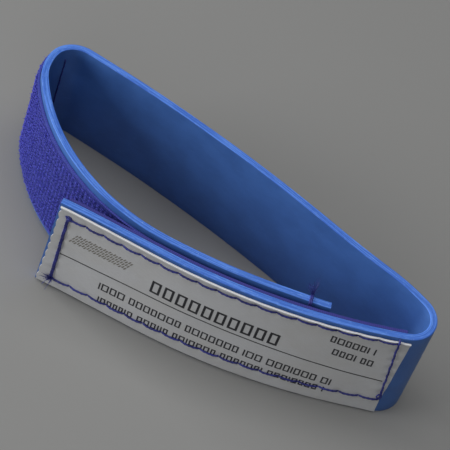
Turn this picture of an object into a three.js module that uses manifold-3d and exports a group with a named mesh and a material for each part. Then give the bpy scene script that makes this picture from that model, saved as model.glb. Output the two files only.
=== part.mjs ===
// A one-inch rubber tourniquet strap standing on its long edge as a closed loop.
// The inner end carries a sewn loop tape on its outer face. The strap runs round the left fold,
// along the back and round the right bend, and its outer end, the tab, comes back over the inner
// end with a hook tape on its inner face and a woven label on its outer face.
// Millimetres, +Z up. The strap's lower edge lies on z = 0, and the closed loop is centred on Z.

import * as THREE from 'three';
import { mergeVertices } from 'three/addons/utils/BufferGeometryUtils.js';
import Module from 'manifold-3d';

// ---------------------------------------------------------------------------
// Driving dimensions
// ---------------------------------------------------------------------------

// Layers, through the thickness of the band
const STRAP_WIDTH = 25.4;
const STRAP_THICKNESS = 1.5;
const LOOP_TAPE_THICKNESS = 0.85;
const HOOK_TAPE_THICKNESS = 0.75;
const LABEL_THICKNESS = 0.35;
const THREAD_THICKNESS = 0.3;
const THREAD_WIDTH = 0.55;

// Clearances between pieces
const SEWN_CLEARANCE = 0.12; // between a sewn layer and the rubber, and around a thread
const CLOSURE_CLEARANCE = 0.2; // between the closed hook tape and loop tape
const JOINT_CLEARANCE = 0.3; // between rubber lengths that turn on each other

// Margins of bare rubber left above and below each layer
const LOOP_TAPE_MARGIN = 1.6;
const HOOK_TAPE_MARGIN = 0.35;
const LABEL_MARGIN = 0.4;

// Inner end of the strap, from its free end: closed length, rise and lower fold
const CLOSURE_RADIUS = 130;
const ARM_END_LENGTH = 17.1;
const ARM_CLOSED_LENGTH = 17.4;
const RISE_RADIUS = 45.5;
const RISE_TURN = radians(60);
const LOWER_FOLD_RADIUS = 12;
const LOWER_FOLD_TURN = radians(36.8);
const LEFT_FOLD_RADIUS = 5.4;

// End of the back, where it sags inwards a little before it enters the right bend
const SAG_RADIUS = 220;
const SAG_TURN = radians(3.9);
const ENTRY_RADIUS = 43;
const ENTRY_TURN = radians(13.2);
const BEND_RADIUS = 5.35;
const BEND_TURN = radians(131.7);
const BEND_JOINTS = 4;

// Outer end of the strap: shoulder, closed length and free tip
const SHOULDER_RADIUS = 121;
const SHOULDER_TURN = radians(5.3);
const TAB_ROOT_LENGTH = 22.6;
const TAB_FREE_LENGTH = 15.3;
const TIP_RADIUS = 102;
const TIP_TURN = radians(3.9);

// Where the sewn layers start and stop, measured along the strap
const LOOP_TAPE_FROM_INNER_END = 2.6;
const LOOP_TAPE_INTO_LEFT_FOLD = 4.2;
const LEFT_FOLD_JOINT_PAST_TAPE = 1;
const HOOK_TAPE_PAST_BEND_JOINT = 1.6;
const HOOK_TAPE_FROM_TIP = 1.2;
const LABEL_PAST_BEND_JOINT = 1;
const LABEL_FROM_TIP = 0.6;

// Stitching
const LABEL_STITCH_FROM_LABEL_END = 1.7;
const LABEL_STITCH_FROM_LABEL_EDGE = 2.4;
const TAPE_STITCH_FROM_TAPE_END = 1;
const TAPE_STITCH_FROM_TAPE_EDGE = 1.5;

// How finely curves are divided
const LONGEST_STEP = 4;
const LARGEST_STEP_TURN = radians(7);

// ---------------------------------------------------------------------------
// Sizes that follow from the driving dimensions
// ---------------------------------------------------------------------------

const OUTER_FACE = STRAP_THICKNESS / 2;
const INNER_FACE = -OUTER_FACE;
const CLOSURE_STACK =
  2 * SEWN_CLEARANCE + LOOP_TAPE_THICKNESS + CLOSURE_CLEARANCE + HOOK_TAPE_THICKNESS;
const TAB_CLOSURE_RADIUS = CLOSURE_RADIUS + STRAP_THICKNESS + CLOSURE_STACK;
const THREAD_CHANNEL_DEPTH = THREAD_THICKNESS + SEWN_CLEARANCE;
const QUARTER_TURN = Math.PI / 2;
const FULL_TURN = 2 * Math.PI;

const PATH = layStrapPath();

function radians(degrees) {
  return (degrees * Math.PI) / 180;
}

// ---------------------------------------------------------------------------
// The strap's centre line in plan: a chain of arcs, clockwise turns positive
// ---------------------------------------------------------------------------

function onCircle(centre, radius, angle) {
  return new THREE.Vector2(
    centre.x + radius * Math.cos(angle),
    centre.y + radius * Math.sin(angle),
  );
}

function clockwiseTurn(fromHeading, toHeading) {
  const turn = (fromHeading - toHeading) % FULL_TURN;
  return turn < 0 ? turn + FULL_TURN : turn;
}

// A negative radius gives a counter-clockwise arc; the turn is given without its sign.
function arcStretch(radius, turn) {
  return { length: Math.abs(radius) * turn, curvature: 1 / radius };
}

// The pose reached after some length of a stretch. A pose is a point and a heading.
function advance(pose, stretch, length) {
  if (stretch.curvature === 0) {
    return {
      x: pose.x + length * Math.cos(pose.heading),
      y: pose.y + length * Math.sin(pose.heading),
      heading: pose.heading,
    };
  }
  const radius = 1 / stretch.curvature;
  const heading = pose.heading - length * stretch.curvature;
  return {
    x: pose.x + radius * (Math.sin(pose.heading) - Math.sin(heading)),
    y: pose.y - radius * (Math.cos(pose.heading) - Math.cos(heading)),
    heading,
  };
}

function centreOfTurn(pose, radius) {
  return onCircle(pose, radius, pose.heading - QUARTER_TURN);
}

// Radius of the back's arc, which ends at the given pose and touches the left fold from outside.
function radiusOfBack(foldCentre, end) {
  const inward = onCircle(new THREE.Vector2(), 1, end.heading - QUARTER_TURN);
  const gap = new THREE.Vector2(end.x, end.y).sub(foldCentre);
  const reach = inward.dot(gap) + LEFT_FOLD_RADIUS;
  return (LEFT_FOLD_RADIUS ** 2 - gap.lengthSq()) / (2 * reach);
}

function layStrapPath() {
  const closureCentre = new THREE.Vector2(0, CLOSURE_RADIUS);

  const innerEndAngle = ARM_END_LENGTH / CLOSURE_RADIUS - QUARTER_TURN;
  const innerEnd = onCircle(closureCentre, CLOSURE_RADIUS, innerEndAngle);
  const start = { x: innerEnd.x, y: innerEnd.y, heading: innerEndAngle - QUARTER_TURN };
  const closedTurn = (ARM_END_LENGTH + ARM_CLOSED_LENGTH) / CLOSURE_RADIUS;
  const arm = [
    arcStretch(CLOSURE_RADIUS, closedTurn),
    arcStretch(RISE_RADIUS, RISE_TURN),
    arcStretch(LOWER_FOLD_RADIUS, LOWER_FOLD_TURN),
  ];
  const armTop = arm.reduce((pose, stretch) => advance(pose, stretch, stretch.length), start);
  const foldCentre = centreOfTurn(armTop, LEFT_FOLD_RADIUS);

  const rootAngle = TAB_ROOT_LENGTH / TAB_CLOSURE_RADIUS - QUARTER_TURN;
  const root = onCircle(closureCentre, TAB_CLOSURE_RADIUS, rootAngle);
  const tabRoot = { x: root.x, y: root.y, heading: rootAngle - QUARTER_TURN };
  const bend = arcStretch(BEND_RADIUS, BEND_TURN);
  const toTab = [
    arcStretch(-SAG_RADIUS, SAG_TURN),
    arcStretch(ENTRY_RADIUS, ENTRY_TURN),
    bend,
    arcStretch(SHOULDER_RADIUS, SHOULDER_TURN),
  ];
  const backEnd = toTab.reduceRight(
    (pose, stretch) => advance(pose, stretch, -stretch.length),
    tabRoot,
  );

  const backRadius = radiusOfBack(foldCentre, backEnd);
  const backCentre = centreOfTurn(backEnd, backRadius);
  const outward = foldCentre.clone().sub(backCentre).divideScalar(backRadius - LEFT_FOLD_RADIUS);
  const foldEndHeading = outward.angle() - QUARTER_TURN;
  const leftFold = arcStretch(LEFT_FOLD_RADIUS, clockwiseTurn(armTop.heading, foldEndHeading));
  const backTurn = clockwiseTurn(foldEndHeading, backEnd.heading);
  const back = arcStretch(backRadius, backRadius < 0 ? FULL_TURN - backTurn : backTurn);
  const tabLeftTurn = ARM_CLOSED_LENGTH / CLOSURE_RADIUS;
  const tab = [
    arcStretch(TAB_CLOSURE_RADIUS, TAB_ROOT_LENGTH / TAB_CLOSURE_RADIUS + tabLeftTurn),
    { length: TAB_FREE_LENGTH, curvature: 0 },
    arcStretch(-TIP_RADIUS, TIP_TURN),
  ];

  const stretches = [];
  let pose = start;
  let travelled = 0;
  for (const stretch of [...arm, leftFold, back, ...toTab, ...tab]) {
    stretches.push({ ...stretch, pose, from: travelled });
    pose = advance(pose, stretch, stretch.length);
    travelled += stretch.length;
  }
  const leftFoldStart = arm.reduce((sum, stretch) => sum + stretch.length, 0);
  const bendStart = stretches[arm.length + 2 + toTab.indexOf(bend)].from;
  return { stretches, length: travelled, leftFoldStart, bend, bendStart };
}

// A point beside the centre line; a positive offset lies outside the loop.
function pointAt(distance, offset) {
  const later = PATH.stretches.findIndex((stretch) => stretch.from > distance);
  const stretch = PATH.stretches.at(later === -1 ? -1 : later - 1);
  const pose = advance(stretch.pose, stretch, distance - stretch.from);
  return onCircle(pose, offset, pose.heading + QUARTER_TURN);
}

// Distances along the strap at which an outline gets a point.
function stations(from, to) {
  const marks = [from];
  for (const stretch of PATH.stretches) {
    const start = Math.max(from, stretch.from);
    const end = Math.min(to, stretch.from + stretch.length);
    if (end <= start) continue;
    const turn = (end - start) * Math.abs(stretch.curvature);
    const byLength = Math.ceil((end - start) / LONGEST_STEP);
    const steps = Math.max(byLength, Math.ceil(turn / LARGEST_STEP_TURN));
    for (let step = 1; step <= steps; step += 1) {
      marks.push(start + ((end - start) * step) / steps);
    }
  }
  return marks;
}

// ---------------------------------------------------------------------------
// Solids
// ---------------------------------------------------------------------------

// A length of band: from and to along the strap, inner and outer offsets, low and high edges.
function bandGeometry({ from, to, inner, outer, low, high }) {
  const marks = stations(from, to);
  const outerSide = marks.map((mark) => pointAt(mark, outer));
  const innerSide = marks.map((mark) => pointAt(mark, inner)).reverse();
  const outline = new THREE.Shape([...outerSide, ...innerSide]);
  const options = { depth: high - low, bevelEnabled: false };
  return new THREE.ExtrudeGeometry(outline, options).translate(0, 0, low);
}

const wasm = await Module();
wasm.setup();

function toSolid(geometry) {
  const bare = geometry.clone();
  bare.deleteAttribute('normal');
  bare.deleteAttribute('uv');
  const merged = mergeVertices(bare);
  const mesh = new wasm.Mesh({
    numProp: 3,
    vertProperties: merged.attributes.position.array,
    triVerts: Uint32Array.from(merged.index.array),
  });
  return new wasm.Manifold(mesh);
}

function toGeometry(solid) {
  const mesh = solid.getMesh();
  const geometry = new THREE.BufferGeometry();
  const positions = new THREE.BufferAttribute(mesh.vertProperties, mesh.numProp);
  geometry.setAttribute('position', positions);
  geometry.setIndex(new THREE.BufferAttribute(mesh.triVerts, 1));
  const faceted = geometry.toNonIndexed();
  faceted.computeVertexNormals();
  return faceted;
}

// A closed rectangle of stitching of the given width. Its outside follows the band's ends and edges.
function stitchFrame(band, width) {
  const window = {
    ...band,
    from: band.from + width,
    to: band.to - width,
    low: band.low + width,
    high: band.high - width,
    inner: band.inner - STRAP_THICKNESS,
    outer: band.outer + STRAP_THICKNESS,
  };
  return toSolid(bandGeometry(band)).subtract(toSolid(bandGeometry(window)));
}

function grownBy(band, clearance) {
  return {
    ...band,
    from: band.from - clearance,
    to: band.to + clearance,
    low: band.low - clearance,
    high: band.high + clearance,
  };
}

// ---------------------------------------------------------------------------
// Pieces
// ---------------------------------------------------------------------------

const group = new THREE.Group();

function addPiece(name, geometry, colour, roughness) {
  const material = new THREE.MeshStandardMaterial({ color: colour, roughness, metalness: 0 });
  const mesh = new THREE.Mesh(geometry, material);
  mesh.name = name;
  group.add(mesh);
}

const RUBBER = { colour: 0x2a55a0, roughness: 0.55 };
const PILE = { colour: 0x2d3296, roughness: 0.95 };
const HOOKS = { colour: 0x262a78, roughness: 0.6 };
const WEAVE = { colour: 0xa6a8ac, roughness: 0.85 };
const THREAD = { colour: 0x20246e, roughness: 0.7 };

function addStrap() {
  const whole = { inner: INNER_FACE, outer: OUTER_FACE, low: 0, high: STRAP_WIDTH };
  const cuts = [0, leftFoldJoint(), ...bendJoints(), PATH.length];
  const names = ['strap_arm', 'strap_back'];
  for (let link = 1; link < BEND_JOINTS; link += 1) names.push(`strap_bend_${link}`);
  names.push('strap_tab');
  names.forEach((name, index) => {
    const startsAtJoint = index > 0;
    const endsAtJoint = index < names.length - 1;
    const from = cuts[index] + (startsAtJoint ? JOINT_CLEARANCE / 2 : 0);
    const to = cuts[index + 1] - (endsAtJoint ? JOINT_CLEARANCE / 2 : 0);
    addPiece(name, bandGeometry({ ...whole, from, to }), RUBBER.colour, RUBBER.roughness);
  });
}

function leftFoldJoint() {
  return loopTapeBand().to + LEFT_FOLD_JOINT_PAST_TAPE;
}

function bendJoints() {
  const spacing = PATH.bend.length / BEND_JOINTS;
  return Array.from({ length: BEND_JOINTS }, (_, i) => PATH.bendStart + (i + 0.5) * spacing);
}

function loopTapeBand() {
  const inner = OUTER_FACE + SEWN_CLEARANCE;
  return {
    from: LOOP_TAPE_FROM_INNER_END,
    to: PATH.leftFoldStart + LOOP_TAPE_INTO_LEFT_FOLD,
    inner,
    outer: inner + LOOP_TAPE_THICKNESS,
    low: LOOP_TAPE_MARGIN,
    high: STRAP_WIDTH - LOOP_TAPE_MARGIN,
  };
}

// Upright rows of stitching, one near each end of the loop tape.
function tapeStitchRows() {
  const tape = loopTapeBand();
  const rowFrom = [
    tape.from + TAPE_STITCH_FROM_TAPE_END,
    tape.to - TAPE_STITCH_FROM_TAPE_END - THREAD_WIDTH,
  ];
  return rowFrom.map((from) => ({
    from,
    to: from + THREAD_WIDTH,
    low: tape.low + TAPE_STITCH_FROM_TAPE_EDGE,
    high: tape.high - TAPE_STITCH_FROM_TAPE_EDGE,
  }));
}

function addLoopTape() {
  const tape = loopTapeBand();
  const channels = tapeStitchRows().map((row) => ({
    ...grownBy(row, SEWN_CLEARANCE),
    inner: tape.outer - THREAD_CHANNEL_DEPTH,
    outer: tape.outer + THREAD_THICKNESS,
  }));
  const channelled = channels.reduce(
    (solid, channel) => solid.subtract(toSolid(bandGeometry(channel))),
    toSolid(bandGeometry(tape)),
  );
  addPiece('loop_tape', toGeometry(channelled), PILE.colour, PILE.roughness);
}

function addTapeThreads() {
  const tape = loopTapeBand();
  const ends = ['inner_end', 'far_end'];
  tapeStitchRows().forEach((row, index) => {
    const needle = { ...row, inner: tape.outer - THREAD_THICKNESS, outer: tape.outer };
    const bobbinOuter = INNER_FACE - SEWN_CLEARANCE;
    const bobbin = { ...row, inner: bobbinOuter - THREAD_THICKNESS, outer: bobbinOuter };
    const needleName = `tape_needle_thread_${ends[index]}`;
    const bobbinName = `tape_bobbin_thread_${ends[index]}`;
    addPiece(needleName, bandGeometry(needle), THREAD.colour, THREAD.roughness);
    addPiece(bobbinName, bandGeometry(bobbin), THREAD.colour, THREAD.roughness);
  });
}

function lastBendJoint() {
  return bendJoints().at(-1);
}

function hookTapeBand() {
  const outer = INNER_FACE - SEWN_CLEARANCE;
  return {
    from: lastBendJoint() + HOOK_TAPE_PAST_BEND_JOINT,
    to: PATH.length - HOOK_TAPE_FROM_TIP,
    inner: outer - HOOK_TAPE_THICKNESS,
    outer,
    low: HOOK_TAPE_MARGIN,
    high: STRAP_WIDTH - HOOK_TAPE_MARGIN,
  };
}

function labelBand() {
  const inner = OUTER_FACE + SEWN_CLEARANCE;
  return {
    from: lastBendJoint() + LABEL_PAST_BEND_JOINT,
    to: PATH.length - LABEL_FROM_TIP,
    inner,
    outer: inner + LABEL_THICKNESS,
    low: LABEL_MARGIN,
    high: STRAP_WIDTH - LABEL_MARGIN,
  };
}

// The stitched rectangle that holds the label and the hook tape to the rubber.
function labelStitchBand() {
  const label = labelBand();
  return {
    from: label.from + LABEL_STITCH_FROM_LABEL_END,
    to: label.to - LABEL_STITCH_FROM_LABEL_END,
    low: label.low + LABEL_STITCH_FROM_LABEL_EDGE,
    high: label.high - LABEL_STITCH_FROM_LABEL_EDGE,
  };
}

function addHookTape() {
  const tape = hookTapeBand();
  const channel = {
    ...grownBy(labelStitchBand(), SEWN_CLEARANCE),
    inner: tape.inner - THREAD_THICKNESS,
    outer: tape.inner + THREAD_CHANNEL_DEPTH,
  };
  const channelWidth = THREAD_WIDTH + 2 * SEWN_CLEARANCE;
  const channelled = toSolid(bandGeometry(tape)).subtract(stitchFrame(channel, channelWidth));
  addPiece('hook_tape', toGeometry(channelled), HOOKS.colour, HOOKS.roughness);
}

function addLabel() {
  addPiece('label', bandGeometry(labelBand()), WEAVE.colour, WEAVE.roughness);
}

function addLabelThreads() {
  const needleInner = labelBand().outer + SEWN_CLEARANCE;
  const needle = {
    ...labelStitchBand(),
    inner: needleInner,
    outer: needleInner + THREAD_THICKNESS,
  };
  const bobbinInner = hookTapeBand().inner;
  const bobbin = {
    ...labelStitchBand(),
    inner: bobbinInner,
    outer: bobbinInner + THREAD_THICKNESS,
  };
  const needleThread = toGeometry(stitchFrame(needle, THREAD_WIDTH));
  const bobbinThread = toGeometry(stitchFrame(bobbin, THREAD_WIDTH));
  addPiece('label_needle_thread', needleThread, THREAD.colour, THREAD.roughness);
  addPiece('label_bobbin_thread', bobbinThread, THREAD.colour, THREAD.roughness);
}

function centreInPlan() {
  const middle = new THREE.Box3().setFromObject(group).getCenter(new THREE.Vector3());
  group.position.set(-middle.x, -middle.y, 0);
}

addStrap();
addLoopTape();
addTapeThreads();
addHookTape();
addLabel();
addLabelThreads();
centreInPlan();

export default group;
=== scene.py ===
"""A one-inch tourniquet strap, closed into a loop that stands on its long edge.

The rubber strap carries a napped loop tape sewn to the outer face of its inner end. Its outer
end, the tab, carries a hook tape on its inner face and a woven label on its outer face. Every
piece is drawn in strap coordinates: how far along the strap from its inner end, how far out from
its middle, and how far up across its width. All lengths are in metres.
"""

import cmath
import logging
import math
import random
from collections.abc import Callable, Iterable, Iterator, Mapping, Sequence
from dataclasses import dataclass, field, replace
from enum import Enum
from typing import Any, ClassVar

import bmesh
import bpy
import numpy as np
from mathutils import Euler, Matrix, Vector, noise


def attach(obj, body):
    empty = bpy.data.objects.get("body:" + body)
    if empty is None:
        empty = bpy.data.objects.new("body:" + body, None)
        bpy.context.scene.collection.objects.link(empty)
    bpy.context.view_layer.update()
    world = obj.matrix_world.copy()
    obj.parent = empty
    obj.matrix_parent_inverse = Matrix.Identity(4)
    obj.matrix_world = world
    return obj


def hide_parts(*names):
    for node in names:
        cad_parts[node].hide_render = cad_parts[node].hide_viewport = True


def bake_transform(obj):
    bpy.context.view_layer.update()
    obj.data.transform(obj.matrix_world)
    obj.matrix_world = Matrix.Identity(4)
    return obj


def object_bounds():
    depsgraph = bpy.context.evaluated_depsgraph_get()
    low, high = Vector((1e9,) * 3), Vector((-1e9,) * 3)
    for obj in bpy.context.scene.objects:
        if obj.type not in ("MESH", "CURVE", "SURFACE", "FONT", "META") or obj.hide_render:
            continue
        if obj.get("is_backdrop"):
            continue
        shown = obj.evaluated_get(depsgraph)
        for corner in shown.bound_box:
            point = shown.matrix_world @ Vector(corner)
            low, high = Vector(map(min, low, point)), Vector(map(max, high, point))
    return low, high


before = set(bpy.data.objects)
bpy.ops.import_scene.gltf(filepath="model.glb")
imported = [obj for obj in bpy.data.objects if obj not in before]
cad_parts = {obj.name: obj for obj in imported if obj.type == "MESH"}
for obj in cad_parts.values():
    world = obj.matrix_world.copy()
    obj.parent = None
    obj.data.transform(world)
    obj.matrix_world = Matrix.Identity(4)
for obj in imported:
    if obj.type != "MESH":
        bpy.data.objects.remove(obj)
CAD_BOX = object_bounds()

MM = 0.001
QUARTER_TURN = math.pi / 2
FULL_TURN = 2 * math.pi

log = logging.getLogger("tourniquet")

Place = tuple[float, float, float]
Colour = tuple[float, float, float]


class Body(Enum):
    """The moving bodies of the strap, from its inner end to its tab."""

    ARM = "arm"
    BAND = "band"
    BEND_1 = "bend_1"
    BEND_2 = "bend_2"
    BEND_3 = "bend_3"
    TAB = "tab"


class Slot(Enum):
    """The record's material slots."""

    RUBBER = "rubber"
    PILE = "loop_pile"
    HOOKS = "hook_tape"
    LABEL = "label"
    THREAD = "thread"


def smooth_step(start: float, end: float, value: np.ndarray) -> np.ndarray:
    """Rises smoothly from 0 at start to 1 at end."""
    share = np.clip((value - start) / (end - start), 0, 1)
    return share * share * (3 - 2 * share)


# ---------------------------------------------------------------------------
# Sizes and the line that the strap follows
# ---------------------------------------------------------------------------


@dataclass(frozen=True)
class Layers:
    """Thicknesses through the strap, and the offsets from its middle that follow from them."""

    width: float = 25.4 * MM
    rubber: float = 1.5 * MM
    loop_tape: float = 0.85 * MM
    hook_tape: float = 0.75 * MM
    label: float = 0.35 * MM
    thread: float = 0.3 * MM
    sewn_gap: float = 0.12 * MM

    @property
    def outer_face(self) -> float:
        """The rubber's outer face."""
        return self.rubber / 2

    @property
    def tape_back(self) -> float:
        """The back of the loop tape and of the label, on the rubber's outer face."""
        return self.outer_face + self.sewn_gap

    @property
    def pile_tips(self) -> float:
        """The tips of the closed pile."""
        return self.tape_back + self.loop_tape

    @property
    def label_front(self) -> float:
        """The label's printed face."""
        return self.tape_back + self.label

    @property
    def thread_front(self) -> float:
        """The front of the thread that lies on the label."""
        return self.label_front + self.sewn_gap + self.thread

    @property
    def hook_back(self) -> float:
        """The back of the hook tape, on the rubber's inner face."""
        return -self.outer_face - self.sewn_gap

    @property
    def hook_tips(self) -> float:
        """The tips of the hooks."""
        return self.hook_back - self.hook_tape


@dataclass(frozen=True)
class Lean:
    """How far the strap's lower and upper edges stray outwards round one place."""

    along: float
    reach: float
    low: float
    high: float


@dataclass
class StrapLine:
    """The strap's middle line in plan: arcs from the inner end round to the tab's tip.

    Positive turns are clockwise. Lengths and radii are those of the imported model.
    """

    OUTLINE_STOPS: ClassVar[int] = 4000

    layers: Layers = field(default_factory=Layers)
    closure_gap: float = 0.2 * MM
    closure_radius: float = 130 * MM
    arm_end_length: float = 17.1 * MM
    arm_closed_length: float = 17.4 * MM
    rise_radius: float = 45.5 * MM
    rise_turn: float = math.radians(60)
    lower_fold_radius: float = 12 * MM
    lower_fold_turn: float = math.radians(36.8)
    left_fold_radius: float = 5.4 * MM
    sag_radius: float = 220 * MM
    sag_turn: float = math.radians(3.9)
    entry_radius: float = 43 * MM
    entry_turn: float = math.radians(13.2)
    bend_radius: float = 5.35 * MM
    bend_turn: float = math.radians(131.7)
    bend_joints: int = 4
    shoulder_radius: float = 121 * MM
    shoulder_turn: float = math.radians(5.3)
    tab_root_length: float = 22.6 * MM
    tab_free_length: float = 15.3 * MM
    tip_radius: float = 102 * MM
    tip_turn: float = math.radians(3.9)
    thread_past_bend: float = 1.6 * MM
    tip_slant: float = 0.75 * MM
    tip_slant_middle: float = 0.4
    tip_slant_reach: float = 9 * MM
    leans: tuple[Lean, ...] = (
        Lean(along=192 * MM, reach=7 * MM, low=0.7 * MM, high=0.1 * MM),
        Lean(along=0.0, reach=5 * MM, low=0.2 * MM, high=0.35 * MM),
    )

    def __post_init__(self) -> None:
        """Lays the arcs end to end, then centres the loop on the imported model."""
        self.starts: list[float] = []
        self.curvatures: list[float] = []
        self.points: list[complex] = []
        self.headings: list[float] = []
        self.length = 0.0
        self.shift = 0j
        self._lay()
        self._centre()

    def _lay(self) -> None:
        """Lays both ends against each other, and joins them by the left fold and the back."""
        layers = self.layers
        closure_stack = (
            2 * layers.sewn_gap + layers.loop_tape + layers.hook_tape + self.closure_gap
        )
        tab_radius = self.closure_radius + layers.rubber + closure_stack
        closure_centre = 1j * self.closure_radius

        inner_angle = self.arm_end_length / self.closure_radius - QUARTER_TURN
        point = closure_centre + cmath.rect(self.closure_radius, inner_angle)
        heading = inner_angle - QUARTER_TURN
        for length, radius in (
            (self.arm_end_length + self.arm_closed_length, self.closure_radius),
            (self.rise_radius * self.rise_turn, self.rise_radius),
            (self.lower_fold_radius * self.lower_fold_turn, self.lower_fold_radius),
        ):
            point, heading = self._add(point, heading, length, 1 / radius)
        self.left_fold_start = self.length
        fold_centre = point + cmath.rect(self.left_fold_radius, heading - QUARTER_TURN)

        to_tab = [
            (self.sag_radius * self.sag_turn, -1 / self.sag_radius),
            (self.entry_radius * self.entry_turn, 1 / self.entry_radius),
            (self.bend_radius * self.bend_turn, 1 / self.bend_radius),
            (self.shoulder_radius * self.shoulder_turn, 1 / self.shoulder_radius),
        ]
        root_angle = self.tab_root_length / tab_radius - QUARTER_TURN
        back_end = closure_centre + cmath.rect(tab_radius, root_angle)
        back_heading = root_angle - QUARTER_TURN
        for length, curvature in reversed(to_tab):
            back_end, back_heading = self._after(back_end, back_heading, -length, curvature)

        inward = cmath.rect(1, back_heading - QUARTER_TURN)
        gap = back_end - fold_centre
        reach = (inward.conjugate() * gap).real + self.left_fold_radius
        back_radius = (self.left_fold_radius**2 - abs(gap) ** 2) / (2 * reach)
        fold_end = cmath.phase(fold_centre - back_end - back_radius * inward) - QUARTER_TURN
        for next_heading, radius in (
            (fold_end, self.left_fold_radius),
            (back_heading, back_radius),
        ):
            length = radius * ((heading - next_heading) % FULL_TURN)
            point, heading = self._add(point, heading, length, 1 / radius)

        for length, curvature in to_tab:
            point, heading = self._add(point, heading, length, curvature)
        self.bend_end = self.length - self.shoulder_radius * self.shoulder_turn
        self.bend_start = self.bend_end - self.bend_radius * self.bend_turn
        closed_share = self.arm_closed_length / self.closure_radius
        for length, curvature in (
            (self.tab_root_length + tab_radius * closed_share, 1 / tab_radius),
            (self.tab_free_length, 0.0),
            (self.tip_radius * self.tip_turn, -1 / self.tip_radius),
        ):
            point, heading = self._add(point, heading, length, curvature)

    def _after(
        self, point: complex, heading: float, length: float, curvature: float
    ) -> tuple[complex, float]:
        """Follows an arc.

        Args:
            point: Where it starts.
            heading: Its direction there.
            length: How far to follow it. A negative length goes backwards.
            curvature: Its clockwise turn for each metre.

        Returns:
            The point and the heading at its end.
        """
        turn = length * curvature
        chord = length * float(np.sinc(turn / FULL_TURN))
        return point + chord * cmath.exp(1j * (heading - turn / 2)), heading - turn

    def _add(
        self, point: complex, heading: float, length: float, curvature: float
    ) -> tuple[complex, float]:
        """Adds one arc to the line.

        Args:
            point: Where it starts.
            heading: Its direction there.
            length: Its length.
            curvature: Its clockwise turn for each metre.

        Returns:
            The point and the heading at its end.
        """
        self.starts.append(self.length)
        self.curvatures.append(curvature)
        self.points.append(point)
        self.headings.append(heading)
        self.length += length
        return self._after(point, heading, length, curvature)

    def _centre(self) -> None:
        """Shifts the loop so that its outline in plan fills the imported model's box."""
        layers = self.layers
        stops = np.linspace(0, self.length, self.OUTLINE_STOPS)
        out = np.where(stops < self.left_fold_start, layers.pile_tips, layers.outer_face)
        out = np.where(stops > self.bend_end + self.thread_past_bend, layers.thread_front, out)
        outline = self.plan(stops, out)
        low = complex(outline.real.min(), outline.imag.min())
        high = complex(outline.real.max(), outline.imag.max())
        packed = sum((complex(corner.x, corner.y) for corner in CAD_BOX), 0j)
        self.shift = (packed - low - high) / 2

    def plan(self, along: np.ndarray, out: np.ndarray) -> np.ndarray:
        """Points in plan, as complex numbers.

        Args:
            along: Distances along the strap.
            out: Distances out from its middle.

        Returns:
            One complex number for each point.
        """
        starts = np.array(self.starts)
        index = np.clip(np.searchsorted(starts, along, side="right") - 1, 0, len(starts) - 1)
        run = along - starts[index]
        turn = run * np.array(self.curvatures)[index]
        heading = np.array(self.headings)[index]
        chord = run * np.sinc(turn / FULL_TURN)
        middle = np.array(self.points)[index] + chord * np.exp(1j * (heading - turn / 2))
        return middle + 1j * out * np.exp(1j * (heading - turn)) + self.shift

    def positions(self, places: np.ndarray) -> np.ndarray:
        """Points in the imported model's frame.

        Args:
            places: Rows of along, out and up.

        Returns:
            Rows of x, y and z.
        """
        along, out, up = places.T
        share = up / self.layers.width
        tip = smooth_step(self.length - self.tip_slant_reach, self.length, along)
        along = along + self.tip_slant * tip * (self.tip_slant_middle - share)
        for lean in self.leans:
            near = np.exp(-(((along - lean.along) / lean.reach) ** 2))
            out = out + near * (lean.low + (lean.high - lean.low) * share)
        flat = self.plan(along, out)
        return np.column_stack([flat.real, flat.imag, up])

    def position(self, along: float, out: float = 0.0, up: float = 0.0) -> Vector:
        """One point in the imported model's frame."""
        return Vector(self.positions(np.array([[along, out, up]]))[0])

    def joint(self, number: int) -> float:
        """How far along the strap the bend's joint of that number lies, from 0."""
        spacing = (self.bend_end - self.bend_start) / self.bend_joints
        return self.bend_start + (number + 0.5) * spacing

    def seam(self, number: int) -> float:
        """How far along the strap the bend's rubber divides, midway between joints."""
        spacing = (self.bend_end - self.bend_start) / self.bend_joints
        return self.bend_start + number * spacing


# ---------------------------------------------------------------------------
# Shaders
# ---------------------------------------------------------------------------


class Value:
    """A number socket of a shader, whose operators add Math nodes."""

    def __init__(self, graph: "Graph", socket: bpy.types.NodeSocket) -> None:
        """Keeps the socket and the graph that it belongs to."""
        self.graph = graph
        self.socket = socket

    def __add__(self, other: "Number") -> "Value":
        """self + other."""
        return self.graph.maths("ADD", self, other)

    def __mul__(self, other: "Number") -> "Value":
        """self * other."""
        return self.graph.maths("MULTIPLY", self, other)

    __radd__ = __add__


Number = Value | float


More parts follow.
